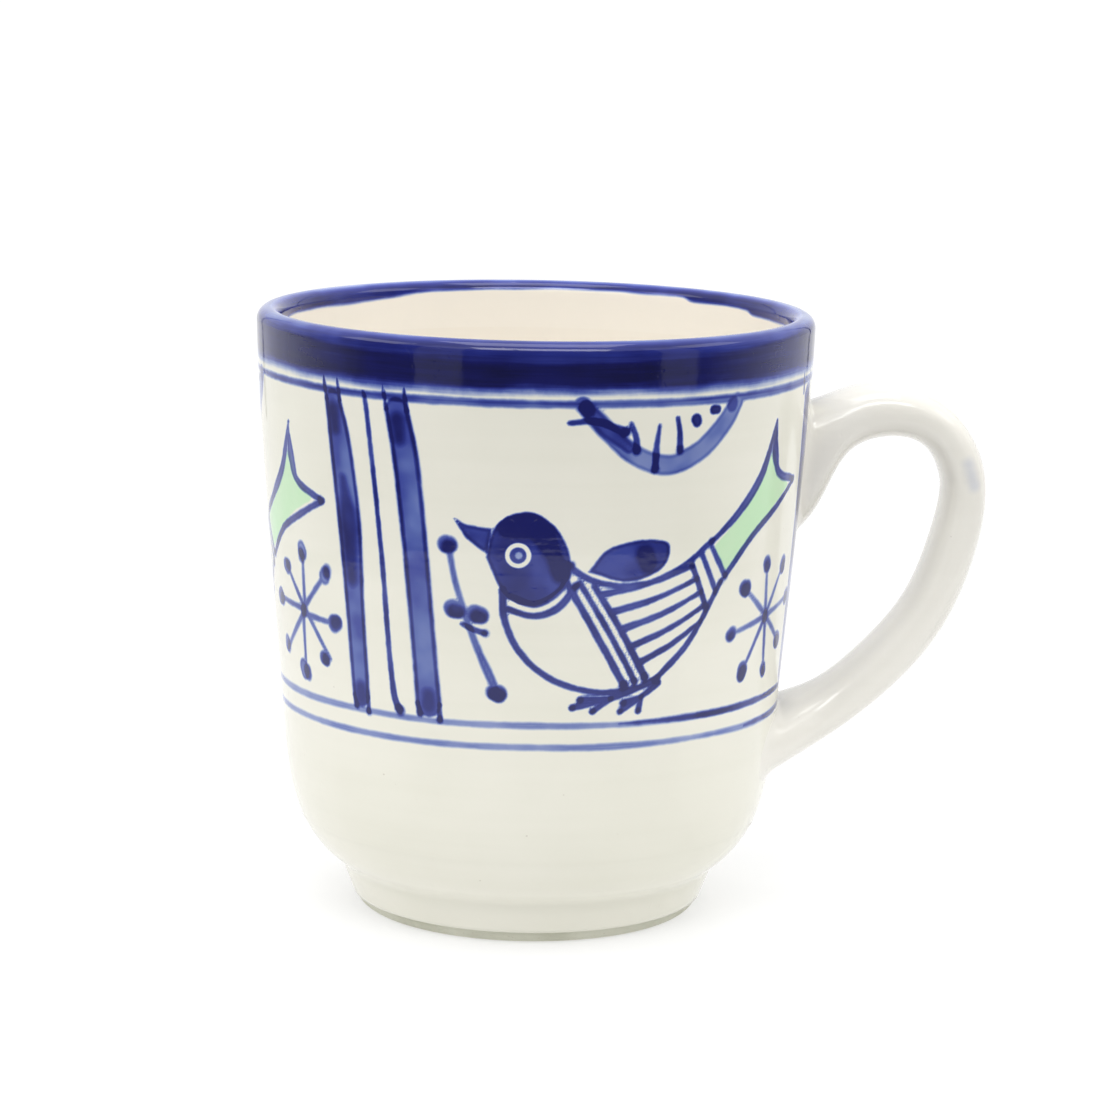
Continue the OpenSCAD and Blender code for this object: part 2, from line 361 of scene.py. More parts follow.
def star(panel, u, v, turn):
    """Eight spokes with a bud at the end of each."""
    for k in range(8):
        a = turn + k * math.pi / 4
        length = 9.0 + 0.8 * math.sin(5 * k + 1)
        du, dv = math.cos(a), math.sin(a)
        panel.stroke("wash", [(u, v, 0.46), (u + du * length, v + dv * length, 0.32)])
        panel.bud(u + du * length, v + dv * length, 1.2 + 0.2 * math.sin(3 * k), 1.25, a + 0.4)
    panel.dot("dab", u, v, 0.9, 1.3, 1.4)


def bird(panel):
    """A plain folk bird: round head, boat-shaped striped body, leaf wing and forked tail."""
    # head, with a dark crown, and a short beak
    panel.fill("body", [(-6.6, 61.4), (-5.2, 66.0), (-1.0, 68.2), (3.0, 66.2), (5.4, 61.6), (4.6, 57.4),
                        (0.6, 54.6), (-3.6, 55.8)])
    panel.fill("body", [(-5.8, 65.6), (-9.6, 66.0), (-11.4, 67.0), (-9.6, 64.2), (-6.4, 61.8)],
               smooth=False)
    panel.stroke("pool", [(-3.6, 66.0, 1.6), (0.4, 65.8, 1.8), (3.2, 62.0, 1.6), (4.0, 58.8, 1.2)])
    panel.line([(-3.4, 55.8, 0.4), (0.6, 54.6, 0.45), (4.2, 56.8, 0.42), (5.6, 60.4, 0.5)])
    # collar
    panel.line([(-3.7, 53.9, 0.42), (0.4, 52.9, 0.46), (4.0, 54.2, 0.5), (6.4, 57.4, 0.45)])
    # breast and belly
    panel.line([(-4.2, 56.6, 0.5), (-3.8, 52.0, 0.5), (-1.4, 47.2, 0.46), (3.2, 43.4, 0.44),
                (9.8, 41.4, 0.42), (16.0, 41.6, 0.46), (19.8, 42.8, 0.5)])
    panel.line([(19.4, 42.6, 0.46), (25.2, 48.0, 0.46), (30.6, 56.4, 0.42)])
    # back
    panel.line([(4.6, 60.6, 0.5), (9.4, 57.9, 0.44), (16.0, 57.2, 0.42),
                (22.6, 59.2, 0.42), (28.2, 62.8, 0.45)])
    # bands across the body
    for shift, width in ((0.0, 0.5), (2.3, 0.4), (4.5, 0.46)):
        panel.line([(4.6 + shift, 58.6 - shift * 0.3, width), (9.0 + shift * 0.9, 51.2, width),
                    (14.4 + shift * 0.75, 42.2 + shift * 0.22, width + 0.06)])
    # stripes along the body, from the last band to the tail's root and the belly
    band_top, band_foot = np.array([9.6, 57.4]), np.array([17.9, 43.4])
    root_top, root_foot = np.array([24.6, 59.8]), np.array([28.0, 53.0])
    for from_top, to_top in ((0.10, 0.06), (0.29, 0.36), (0.48, 0.66), (0.67, 0.96), (0.85, 1.32)):
        start = band_top + from_top * (band_foot - band_top)
        end = root_top + to_top * (root_foot - root_top) - [max(0.0, to_top - 1) * 6, 0]
        middle = (start + end) / 2 - [0, 0.35]
        panel.line([(*start, 0.52), (*middle, 0.42), (*end, 0.34)], blot=1.1)
    # tail root
    for shift in (0.0, 1.9, 3.7):
        panel.line([(24.4 + shift, 60.2 + shift * 0.5, 0.42),
                    (28.0 + shift * 0.9, 52.8 + shift * 1.2, 0.42)])
    # wing
    panel.fill("body", [(8.2, 59.4), (11.0, 62.6), (16.2, 63.8), (20.4, 63.0), (19.4, 59.4), (14.0, 57.8)])
    panel.stroke("pool", [(16.6, 61.8, 1.5), (17.2, 60.2, 1.4)])
    # tail
    tail = [(28.4, 62.8), (33.7, 66.8), (38.4, 72.0), (41.2, 79.4), (42.6, 71.8), (49.4, 69.4),
            (43.6, 66.2), (37.0, 62.4), (31.4, 57.2)]
    panel.fill("green", [(29.2, 61.8), (34.6, 66.0), (39.0, 70.8), (41.0, 74.6), (42.4, 70.6), (46.6, 69.0),
                         (42.4, 66.8), (36.8, 63.0), (31.4, 58.4)], smooth=False)
    panel.line([(*p, w) for p, w in zip(tail[:4], (0.46, 0.62, 0.7, 0.16))], blot=1.0)
    panel.line([(*p, w) for p, w in zip(tail[3:6], (0.16, 0.6, 0.5))])
    panel.line([(*p, w) for p, w in zip(tail[5:], (0.4, 0.5, 0.5, 0.46))])
    panel.stroke("line", [(41.0, 77.6, 0.45), (41.5, 74.4, 0.9), (42.5, 71.8, 0.5)])
    # feet
    for hip, ankle, toes in (((19.0, 42.4), (12.4, 40.3), ((7.6, 40.3), (6.4, 39.1), (9.6, 38.5))),
                             ((20.2, 42.2), (17.4, 40.3), ((14.4, 39.5), (14.0, 38.3), (17.0, 38.2)))):
        panel.line([(*hip, 0.5), (*ankle, 0.42)], blot=0.9)
        for toe in toes:
            panel.line([(*ankle, 0.4), (*toe, 0.46)], blot=1.1)
    # eye: a ring left bare in the head, round a painted pupil
    panel.dot("eye", -2.0, 61.8, 1.9)
    panel.dot("pupil", -2.0, 61.8, 1.2)
    panel.dot("glint", -1.9, 61.8, 0.55)


def ring_line(sheet, name, v, half_width, wobble, start=0.0, length=PANELS * PANEL_W):
    """A line round the cup, from a start in millimetres for a length, in a few joined strokes."""
    strokes = max(1, round(length / PANEL_W))
    knots = 6 * strokes + 1
    u = np.linspace(start, start + length, knots)
    drift = rng.normal(0, 1, (2, knots))
    if strokes > 1:
        drift[:, -1] = drift[:, 0]
    line = np.column_stack([u, v + wobble * drift[0], half_width * (1 + 0.14 * drift[1])])
    if strokes == 1:
        line[0, 2] *= 0.2                 # a short stroke starts with the tip of the brush
    for k in range(strokes):
        sheet.stroke(name, line[6 * k:6 * k + 7], 1.5)


LEANS = (0.0, 0.02, 0.07)                 # how far the bird leans over, panel by panel


def paint(u, v):
    """All colour layers on the unrolled wall."""
    sheet = Sheet(u, v)
    for index in range(PANELS):
        panel = Panel(sheet, index)
        bars(panel)
        stem(panel)
        half_sun(panel)
        bird(Panel(sheet, index, LEANS[index]))
        star(panel, 43.6, 49.4, 0.15 + 0.3 * index)
    upper, middle, lower = 83.95, 36.4, 33.0
    ring_line(sheet, "wash", upper, 0.54, 0.10)
    ring_line(sheet, "pale", upper, 0.07, 0.06)
    ring_line(sheet, "pale", middle, 0.46, 0.08)
    ring_line(sheet, "pale", lower, 0.41, 0.08)
    # the last brushful, laid over the first near the handle
    brush_end = 73.0
    for v, half_width, start in ((middle, 0.36, 14.0), (lower, 0.3, 40.0)):
        ring_line(sheet, "wash", v, half_width, 0.05, start, length=brush_end - start)
    return sheet.layers


def band_edge(u):
    """Height of the cobalt band's lower edge outside, and of its stepped edge inside the lip."""
    turn = u / PAINT_R
    outside = BAND_Z + 0.2 - 0.3 * np.cos(turn) + 0.15 * np.sin(5 * turn + 1) + 0.1 * np.sin(17 * turn + 2)

    def step(at, width):
        return 0.5 + 0.5 * np.tanh((turn - at) / width)

    # inside, the brush ran short in two steps at the back and was reloaded past it
    steps = 0.7 * step(2.09, 0.02) + 0.7 * step(2.47, 0.02) - 1.4 * step(3.7, 0.2)
    return outside, MUG_H - 2.6 + steps + 0.08 * np.sin(9 * turn) + 0.04 * np.sin(23 * turn)


# ---- materials ----

class Nodes:
    """Short hand for building a material's node tree."""

    def __init__(self, name):
        self.material = bpy.data.materials.new(name)
        self.material.use_nodes = True
        self.tree = self.material.node_tree
        self.shader = self.tree.nodes["Principled BSDF"]

    def link(self, value, socket):
        """Wires another node's output, or sets a plain value."""
        if isinstance(value, bpy.types.NodeSocket):
            self.tree.links.new(value, socket)
        elif value is not None:
            socket.default_value = value

    def make(self, kind, **settings):
        """A new node with some of its settings."""
        node = self.tree.nodes.new(kind)
        for key, value in settings.items():
            setattr(node, key, value)
        return node

    def position(self, scale=(1, 1, 1)):
        """The object's own coordinates in millimetres, stretched."""
        place = self.make("ShaderNodeTexCoord")
        mapping = self.make("ShaderNodeMapping")
        mapping.inputs["Scale"].default_value = [s / MM for s in scale]
        self.link(place.outputs["Object"], mapping.inputs["Vector"])
        return mapping.outputs["Vector"]

    def noise(self, size, detail=3.0, rough=0.5, stretch=(1, 1, 1)):
        """Noise from 0 to 1 with features of a size in millimetres."""
        node = self.make("ShaderNodeTexNoise")
        node.inputs["Scale"].default_value = 1.0
        node.inputs["Detail"].default_value = detail
        node.inputs["Roughness"].default_value = rough
        self.link(self.position([s / size for s in stretch]), node.inputs["Vector"])
        return node.outputs["Fac"]

    def value(self, name):
        """A number stored on the vertices."""
        return self.make("ShaderNodeAttribute", attribute_name=name).outputs["Fac"]

    def math(self, operation, *inputs):
        """One sum or comparison of numbers or other nodes' outputs."""
        node = self.make("ShaderNodeMath", operation=operation)
        for item, socket in zip(inputs, node.inputs):
            self.link(item, socket)
        return node.outputs[0]

    def ramp(self, value, low, high, start=0.0, end=1.0):
        """A soft step from start to end while value goes from low to high."""
        node = self.make("ShaderNodeMapRange", interpolation_type="SMOOTHSTEP")
        for item, socket in zip((value, low, high, start, end), node.inputs):
            self.link(item, socket)
        return node.outputs[0]

    def blend(self, factor, a, b, mode="MIX"):
        """Colour a turning into colour b as the factor goes from 0 to 1."""
        node = self.make("ShaderNodeMix", data_type="RGBA", blend_type=mode)
        for item, socket in ((factor, node.inputs[0]), (a, node.inputs[6]), (b, node.inputs[7])):
            self.link((*item, 1.0) if isinstance(item, tuple) else item, socket)
        return node.outputs[2]

    def cobalt(self, strength):
        """The stain's colour from its strength."""
        node = self.make("ShaderNodeValToRGB")
        full = COBALT[-1][0]
        self.link(self.math("DIVIDE", strength, full), node.inputs["Fac"])
        stops = node.color_ramp.elements
        stops.remove(stops[-1])
        for k, (at, tint) in enumerate(COBALT):
            stop = stops[0] if k == 0 else stops.new(at / full)
            stop.position = at / full
            stop.color = (*tint, 1.0)
        return node.outputs["Color"]

    def bump(self, height, distance_mm, strength=1.0, under=None):
        """Fine relief, laid over another relief if one is given."""
        node = self.make("ShaderNodeBump")
        node.inputs["Strength"].default_value = strength
        node.inputs["Distance"].default_value = distance_mm * MM
        self.link(height, node.inputs["Height"])
        self.link(under, node.inputs["Normal"])
        return node.outputs[0]

    def finish(self, colour, roughness, normal, **fixed):
        """Wires the shader, sets its fixed values and gives the material."""
        self.link(colour, self.shader.inputs["Base Color"])
        self.link(roughness, self.shader.inputs["Roughness"])
        self.link(normal, self.shader.inputs["Normal"])
        for key, value in fixed.items():
            self.shader.inputs[key.replace("_", " ")].default_value = value
        return self.material


def glaze_ground(nodes, pale, deep):
    """Colour of the fired glaze: slow drifts, faint throwing rings and a few iron specks."""
    drift = nodes.ramp(nodes.noise(26, 2), 0.3, 0.7)
    rings = nodes.ramp(nodes.noise(3.2, 2, 0.6, stretch=(0.03, 0.03, 1)), 0.35, 0.75)
    amount = nodes.math("ADD", nodes.math("MULTIPLY", drift, 0.55), nodes.math("MULTIPLY", rings, 0.3))
    ground = nodes.blend(amount, pale, deep)
    specks = nodes.ramp(nodes.noise(1.1, 1), 0.80, 0.86)
    return nodes.blend(nodes.math("MULTIPLY", specks, 0.35), ground, (0.30, 0.24, 0.18))


def glaze_surface(nodes, relief=1.0):
    """Relief of the glaze: soft throwing rings, orange peel and tiny pinholes."""
    rings = nodes.noise(2.6, 2, 0.55, stretch=(0.02, 0.02, 1))
    peel = nodes.noise(2.2, 2, 0.5)
    pits = nodes.ramp(nodes.noise(0.9, 0), 0.18, 0.26)
    first = nodes.bump(rings, 0.05 * relief, 0.5)
    second = nodes.bump(peel, 0.03 * relief, 0.5, first)
    return nodes.bump(pits, 0.02, 0.4, second)


GLAZE_PALE = (0.81, 0.795, 0.70)
GLAZE_DEEP = (0.76, 0.75, 0.645)
LINER_PALE = (0.905, 0.862, 0.78)
LINER_DEEP = (0.88, 0.828, 0.735)
GREEN = (0.50, 0.76, 0.47)

# Light that comes back through a coat of cobalt of each strength: pale blue, then navy
COBALT = ((0.0, (1.0, 1.0, 1.0)), (0.5, (0.62, 0.69, 0.92)), (1.0, (0.37, 0.45, 0.83)),
          (1.9, (0.13, 0.19, 0.60)), (2.6, (0.05, 0.075, 0.44)), (3.3, (0.022, 0.034, 0.30)),
          (4.4, (0.005, 0.007, 0.13)), (6.0, (0.001, 0.001, 0.02)))

# Layers of brushwork: softness and raggedness of the edge, thin and thick strength,
# and extra strength along the edge
BRUSHWORK = {
    "pale": (0.32, 0.5, 0.9, 1.4, 0.6),
    "wash": (0.31, 0.7, 1.5, 2.3, 0.6),
    "bud": (0.45, 1.0, 2.2, 3.6, 0.0),
    "line": (0.24, 0.8, 2.3, 3.5, 0.6),
    "bar": (0.28, 0.8, 1.8, 2.7, 0.5),
    "body": (0.27, 0.8, 2.7, 3.9, 0.9),
    "dab": (0.30, 1.0, 1.2, 2.2, 0.0),
}

MOST_STAIN = 4.3                          # crossing strokes get no darker than this


def painted_glaze():
    """The painted wall: glaze ground, green, then every layer of cobalt and the band."""
    nodes = Nodes("painted_glaze")
    ground = glaze_ground(nodes, GLAZE_PALE, GLAZE_DEEP)
    # the inside of the lip takes the warmer liner colour
    ground = nodes.blend(nodes.value("liner"), ground, LINER_PALE)
    bristle = nodes.math("SUBTRACT", nodes.noise(0.9, 2, 0.6), 0.5)
    wobble = nodes.math("SUBTRACT", nodes.noise(3.0, 1), 0.5)
    ragged = nodes.math("ADD", nodes.math("MULTIPLY", bristle, 0.22), nodes.math("MULTIPLY", wobble, 0.35))
    pooling = nodes.noise(8.0, 2, 0.5)
    streaks = nodes.noise(0.7, 2, 0.6, stretch=(0.04, 0.04, 1))

    def inside(name, much=1.0):
        return nodes.math("ADD", nodes.value(name), nodes.math("MULTIPLY", ragged, much))

    def total(parts):
        out = parts[0]
        for part in parts[1:]:
            out = nodes.math("ADD", out, part)
        return out

    coats = []
    for name, (soft, rough, thin, thick, at_edge) in BRUSHWORK.items():
        shape = inside(name, rough)
        load = nodes.ramp(pooling, 0.32, 0.68, thin, thick)
        load = nodes.math("ADD", load, nodes.ramp(shape, 0.7, 0.1, 0.0, at_edge))
        coats.append(nodes.math("MULTIPLY", nodes.ramp(shape, -soft, soft), load))
    strength = total(coats)
    # pools darken only what is already painted
    pools = nodes.ramp(inside("pool"), -0.5, 1.0, 0.0, 1.7)
    pools = nodes.math("MULTIPLY", pools, nodes.ramp(strength, 0.3, 1.2))
    strength = nodes.math("MINIMUM", nodes.math("ADD", strength, pools), MOST_STAIN)
    # the eye is left bare in the head, with a painted pupil and its glint
    strength = nodes.math("MULTIPLY", strength, nodes.ramp(inside("eye", 0.4), -0.15, 0.15, 1.0, 0.0))
    strength = nodes.math("ADD", strength, nodes.ramp(inside("pupil", 0.4), -0.15, 0.15, 0.0, 3.0))
    strength = nodes.math("SUBTRACT", strength, nodes.ramp(nodes.value("glint"), -0.2, 0.2, 0.0, 1.9))

    # the broad band, over everything else
    streaky = nodes.math("MULTIPLY", nodes.math("SUBTRACT", streaks, 0.5), 0.5)
    band = nodes.math("ADD", inside("band"), streaky)
    load = nodes.ramp(streaks, 0.3, 0.7, 4.8, 5.4)
    load = nodes.math("ADD", load, nodes.ramp(pooling, 0.3, 0.7, -0.3, 0.3))
    # the band pales where its stain runs thin over the crest, and where a painted reflection and painted
    # sheen are laid on it at the front, back and sides
    load = nodes.math("SUBTRACT", load, nodes.math("MULTIPLY", nodes.value("thin"), 2.5))
    strength = nodes.math("MAXIMUM", strength, nodes.math("MULTIPLY", nodes.ramp(band, -1.2, 1.3), load))

    green = nodes.ramp(inside("green"), -0.7, -0.3)
    green = nodes.math("MULTIPLY", green, nodes.ramp(pooling, 0.2, 0.8, 0.8, 1.0))
    colour = nodes.blend(1.0, nodes.blend(green, ground, GREEN), nodes.cobalt(strength), "MULTIPLY")
    roughness = nodes.ramp(nodes.noise(9, 3), 0.3, 0.7, 0.05, 0.11)
    return nodes.finish(colour, roughness, glaze_surface(nodes), IOR=1.5)


def liner_glaze():
    nodes = Nodes("liner_glaze")
    colour = glaze_ground(nodes, LINER_PALE, LINER_DEEP)
    roughness = nodes.ramp(nodes.noise(9, 3), 0.3, 0.7, 0.06, 0.13)
    return nodes.finish(colour, roughness, glaze_surface(nodes), IOR=1.5)


def handle_coat():
    nodes = Nodes("handle_glaze")
    ground = glaze_ground(nodes, (0.82, 0.80, 0.735), (0.78, 0.758, 0.69))
    ragged = nodes.math("MULTIPLY", nodes.math("SUBTRACT", nodes.noise(2.2, 3, 0.6), 0.5), 0.8)
    smudge = nodes.ramp(nodes.math("ADD", nodes.value("smudge"), ragged), -0.9, 0.9, 0.0, 0.3)
    colour = nodes.blend(smudge, ground, (0.30, 0.36, 0.55))
    roughness = nodes.ramp(nodes.noise(9, 3), 0.3, 0.7, 0.06, 0.12)
    return nodes.finish(colour, roughness, glaze_surface(nodes, 1.6), IOR=1.5)


def bare_clay(name, pale, deep):
    """Unglazed fired stoneware: sandy, matt, with fine turning grooves."""
    nodes = Nodes(name)
    grain = nodes.noise(0.5, 4, 0.7)
    patches = nodes.ramp(nodes.noise(7, 3), 0.35, 0.7)
    colour = nodes.blend(patches, pale, deep)
    colour = nodes.blend(nodes.ramp(grain, 0.60, 0.75, 0.0, 0.5), colour, (0.33, 0.25, 0.17))
    grooves = nodes.noise(0.8, 1, 0.4, stretch=(0.02, 0.02, 1))
    normal = nodes.bump(grain, 0.05, 0.6, nodes.bump(grooves, 0.08, 0.5))
    return nodes.finish(colour, nodes.ramp(grain, 0.3, 0.7, 0.72, 0.9), normal)


# ---- pieces ----

def placed(obj, slot, *nodes):
    """Hangs a piece on the root body and hides the CAD nodes it replaces; the slot argument is not used."""
    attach(obj, "root")
    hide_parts(*nodes)
    return obj


COLUMNS = 660
WALL_SEAM = (31.8, BAND_Z + 0.9)          # the painted wall piece lies between these heights


def wall_part(low, high, step):
    """The section's outside wall between two heights."""
    wall = spaced(cubic(WALL, 200), 0.05)
    picked = wall[(wall[:, 1] >= low) & (wall[:, 1] <= high)]
    ends = [[wall_radius(z), z] for z in (low, high)]
    return spaced(np.vstack([ends[:1], picked, ends[1:]]), step)


def brush(obj, section, columns):
    """Stores the painting on a turned piece's vertices."""
    u = np.tile(np.linspace(0, 2 * math.pi * PAINT_R, columns, endpoint=False), len(section))
    r = np.repeat(section[:, 0], columns)
    v = np.repeat(section[:, 1], columns)
    inner = (r < LIP_MID_R) & (v > LIP_Z - 20)
    for name, values in paint(u, v).items():
        add_values(obj, name, np.where(inner, NO_PAINT, values))
    edge_out, edge_in = band_edge(u)
    # the edge inside the lip is crisper than the one outside
    add_values(obj, "band", np.clip(np.where(inner, 3 * (v - edge_in), v - edge_out), -3, 3))
    add_values(obj, "liner", np.where(inner, 1.0, 0.0))
    # the stain runs thin over the crest of the lip, less so in wide shallow arcs below it at the
    # front and back, which are a painted reflection of the lamps, and a little at the cup's two
    # sides as the camera sees them, a painted sheen; inside the lip it is paler throughout
    crest = np.clip(1 - ((r - LIP_MID_R - 0.3) / 1.7) ** 2, 0, 1) * (v > LIP_Z)
    painted_reflection_arcs = np.clip((v - LIP_Z + 0.3 + 1.2 * np.cos(2 * u / PAINT_R)) / 0.5, 0, 1) * (r > LIP_MID_R)
    sides = 0.15 - 0.15 * np.cos(2 * u / PAINT_R)
    add_values(obj, "thin", np.maximum(crest, 0.5 * painted_reflection_arcs) + np.where(inner, 0.5, sides))


def make_painted_wall(material):
    """The band of brushwork round the wall."""
    low, high = WALL_SEAM
    front = wall_part(low, high, 0.39)
    back = wall_part(low, high, 8.0)[::-1] - [GLAZE_T, 0]
    section = np.vstack([front, back])
    obj = lathe("painted_wall", section, COLUMNS, material)
    brush(obj, section, COLUMNS)
    return placed(obj, "painted_glaze", "outside_glaze")


def make_cobalt_rim(material):
    """The cobalt band, over the lip and a little way down inside."""
    bore_top = spaced(cubic(BORE, 200)[:22], 0.4)
    front = chain(wall_part(WALL_SEAM[1], LIP_Z, 0.4), arc((LIP_MID_R, LIP_Z), LIP_R, 0, 180, 25), bore_top)
    back = np.vstack([bore_top[-1:] + [GLAZE_T, 0], arc((LIP_MID_R, LIP_Z), LIP_R - GLAZE_T, 180, 0, 9),
                      front[:1] - [GLAZE_T, 0]])
    section = np.vstack([front, back])
    obj = lathe("cobalt_rim", section, COLUMNS, material)
    brush(obj, section, COLUMNS)
    return placed(obj, "cobalt_glaze", "rim_band")


def make_foot_glaze():
    """The plain glaze over the shoulder and the foot."""
    nodes = Nodes("shoulder_glaze")
    colour = glaze_ground(nodes, GLAZE_PALE, GLAZE_DEEP)
    roughness = nodes.ramp(nodes.noise(9, 3), 0.3, 0.7, 0.05, 0.11)
    material = nodes.finish(colour, roughness, glaze_surface(nodes), IOR=1.5)
    side, shoulder = cubic(FOOT_SIDE, 40)[:26], cubic(SHOULDER, 80)[9:]
    corner = [FOOT_R, FOOT_H]
    fillet = cubic([side[-1], corner, corner, shoulder[0]], 12)
    front = chain(spaced(side, 0.5), fillet, spaced(shoulder, 0.6), wall_part(WAIST_Z, WALL_SEAM[0], 0.6))
    back = np.array([[FOOT_LOW_R, GLAZE_STOP_Z], [FOOT_R, FOOT_H], [WAIST_R - 2.3, FOOT_H + 7.5],
                     [WAIST_R, WAIST_Z], front[-1]])[::-1] - [GLAZE_T, 0]
    section = np.vstack([front, back])
    return placed(lathe("foot_glaze", section, COLUMNS, material), "white_glaze", "outside_glaze")


def make_liner():
    """The cream glaze inside the cup."""
    bore = cubic(BORE, 200)[21:]
    floor = np.array([[BORE_R - 22, FLOOR_Z], [0, FLOOR_Z]])
    front = chain(spaced(bore, 1.2), spaced(cubic(BOWL, 80), 1.0), spaced(floor, 1.2))
    back = np.array([[0, FLOOR_Z - GLAZE_T], [BORE_R - 22, FLOOR_Z - GLAZE_T], [BORE_R - 5, FLOOR_Z + 3.6],
                     [BORE_R - 0.6, FLOOR_Z + 13], [BORE_R + GLAZE_T, WAIST_Z],
                     [front[0, 0] + GLAZE_T, front[0, 1]]])
    section = np.vstack([front[::-1], back[::-1]])
    return placed(lathe("liner_glaze", section, COLUMNS // 2, liner_glaze()), "liner_glaze", "inside_glaze")


def make_foot(clay):
    """The bare ring that the mug rests on."""
    side_r = FOOT_LOW_R - GLAZE_T
    outer = chain(cubic([[REST_R, 0], [side_r - 0.9, 0], [side_r - 0.4, 0.9], [side_r, GLAZE_STOP_Z]], 12),
                  np.array([[side_r, GLAZE_STOP_Z], [FOOT_R - GLAZE_T, FOOT_H]]))
    inner = arc((RECESS_R + 0.8, 0.8), 0.8, 180, 270, 6)
    section = np.vstack([outer, [[RECESS_R, FOOT_H]], inner])
    return placed(lathe("bare_foot", section, 240, clay), "clay", "foot_ring")


def make_base():
    """The glaze in the hollow under the foot, pooled into its corner."""
    corner = arc((RECESS_R - 0.9, RECESS_Z - 0.9), 0.9, 0, 90, 7)
    middle = [[RECESS_R * 0.6, RECESS_Z + 0.05], [RECESS_R * 0.25, RECESS_Z + 0.1], [0, RECESS_Z + 0.1]]
    clay_side_z = RECESS_Z + GLAZE_T
    top = [[0, clay_side_z], [RECESS_R * 0.5, clay_side_z], [RECESS_R, clay_side_z]]
    section = np.vstack([top, corner, middle])
    nodes = Nodes("base_glaze")
    colour = glaze_ground(nodes, GLAZE_DEEP, (0.62, 0.61, 0.52))
    roughness = nodes.ramp(nodes.noise(6, 3), 0.3, 0.7, 0.07, 0.16)
    material = nodes.finish(colour, roughness, glaze_surface(nodes, 1.5), IOR=1.5)
    return placed(lathe("base_glaze_pool", section, 240, material), "white_glaze", "base_glaze")


# Stations along the strap: outer x, outer z, inner x, inner z, and width
STATIONS = np.array([
    [37.0, 77.4, 37.0, 56.0, 13.0],
    [43.5, 79.4, 43.0, 61.8, 13.0],
    [48.5, 81.2, 47.0, 69.8, 13.0],
    [53.5, 82.0, 52.0, 73.4, 13.0],
    [59.5, 80.8, 57.3, 73.6, 13.0],
    [64.8, 77.3, 60.8, 71.6, 13.0],
    [68.6, 71.5, 62.6, 68.4, 13.0],
    [69.8, 64.5, 63.1, 64.4, 13.0],
    [68.6, 56.3, 61.6, 57.6, 13.0],
    [65.3, 47.0, 58.6, 49.6, 13.0],
    [60.0, 38.7, 53.8, 43.0, 13.0],
    [52.8, 31.6, 47.8, 37.2, 13.0],
    [45.0, 26.0, 42.0, 33.6, 15.8],
    [36.0, 21.2, 35.0, 30.8, 27.0],
    [32.4, 18.9, 31.6, 29.2, 27.0],
])


def spline(rows):
    """Second slopes of a smooth spline through the rows, and the spline itself as a function."""
    n = len(rows)
    system = np.eye(n)
    right = np.zeros_like(rows)
    for i in range(1, n - 1):
        system[i, i - 1:i + 2] = (1, 4, 1)
        right[i] = 6 * (rows[i - 1] - 2 * rows[i] + rows[i + 1])
    bend = np.linalg.solve(system, right)

    def at(s):
        i = np.clip(np.floor(s).astype(int), 0, n - 2)
        t = (s - i)[..., None]
        a, b = rows[i], rows[i + 1]
        return ((1 - t) * a + t * b
                + ((1 - t) ** 3 - (1 - t)) * bend[i] / 6 + (t ** 3 - t) * bend[i + 1] / 6)

    return at


